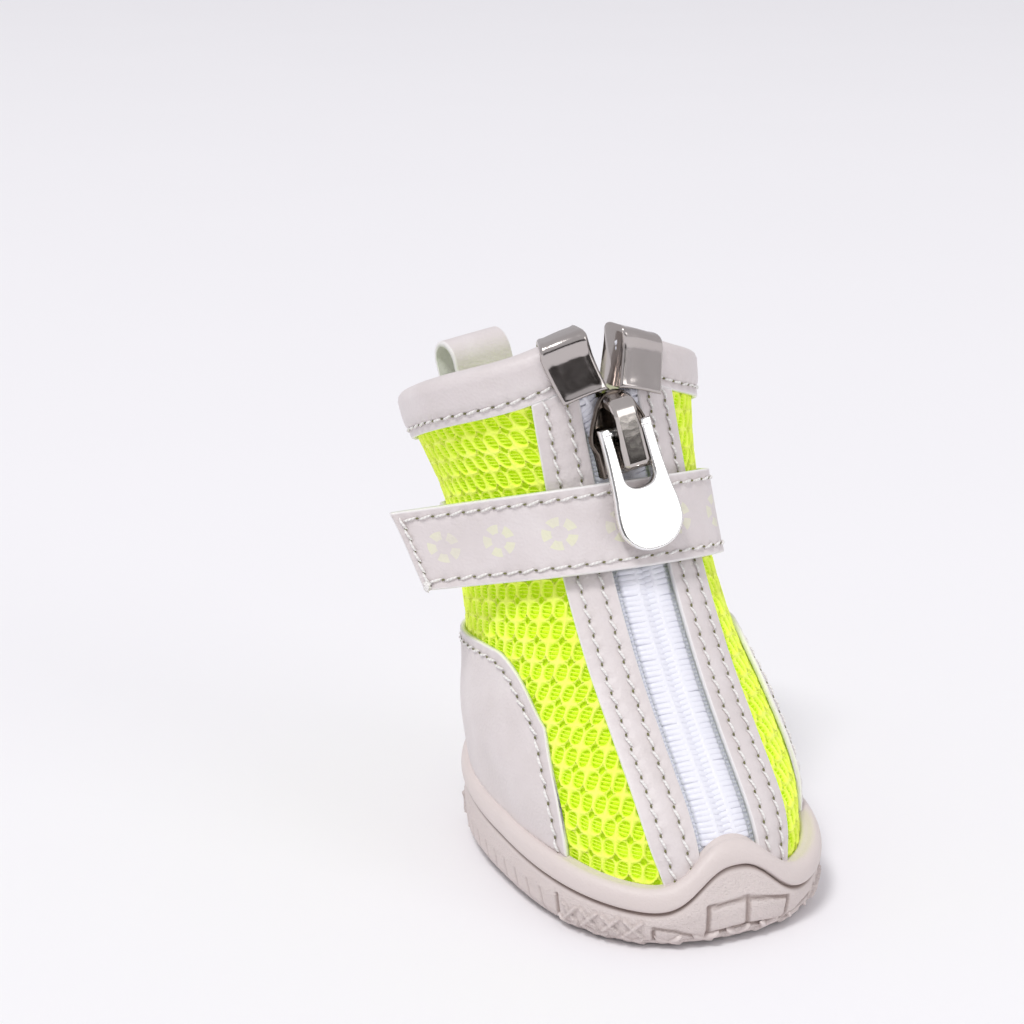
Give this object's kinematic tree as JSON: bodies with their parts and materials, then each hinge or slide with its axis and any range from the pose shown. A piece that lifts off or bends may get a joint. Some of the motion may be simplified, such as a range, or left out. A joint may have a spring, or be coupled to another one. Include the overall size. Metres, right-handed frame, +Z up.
{
  "type": "dog boot",
  "caption": "Small front-zip dog boot with a knitted mesh upper, rubber cup sole, heel counter, ankle strap and pull loop.",
  "frame": {"origin": "middle of the sole's outline, on the ground plane that the tread stands on", "axes": "+Z up from the ground to the collar, toe towards -Y, +X to the wearer's left when the toe points ahead"},
  "size_m": [0.0528, 0.0748, 0.0785],
  "materials": {
    "rubber": "matte warm grey",
    "felt": "matte",
    "mesh": "neon lime knitted spacer mesh",
    "leather": "light grey coated synthetic leather, semi-matte",
    "tape": "white woven tape with nylon coil",
    "nickel": "polished dark nickel",
    "bright_nickel": "polished nickel"
  },
  "bodies": {
    "boot": {"outsole": "rubber", "insole": "felt", "upper": "mesh", "heel_counter": "leather", "zip_facing_left": "leather", "zip_facing_right": "leather", "zip_tape_left": "tape", "zip_tape_right": "tape", "clip_left": "nickel", "clip_right": "nickel", "collar_binding": "leather", "pull_loop": "leather", "strap": "leather", "zip_slider": "nickel", "zip_slider_crown": "nickel"},
    "pull": {"zip_pull": "bright_nickel"}
  },
  "joints": [
    {"name": "pull_swing", "type": "hinge", "parent": "boot", "child": "pull", "pos_m": [-0.00258, 0.00023, 0.06467], "axis": [-0.9838, -0.0137, -0.1786], "range_deg": [0, 165]}
  ]
}
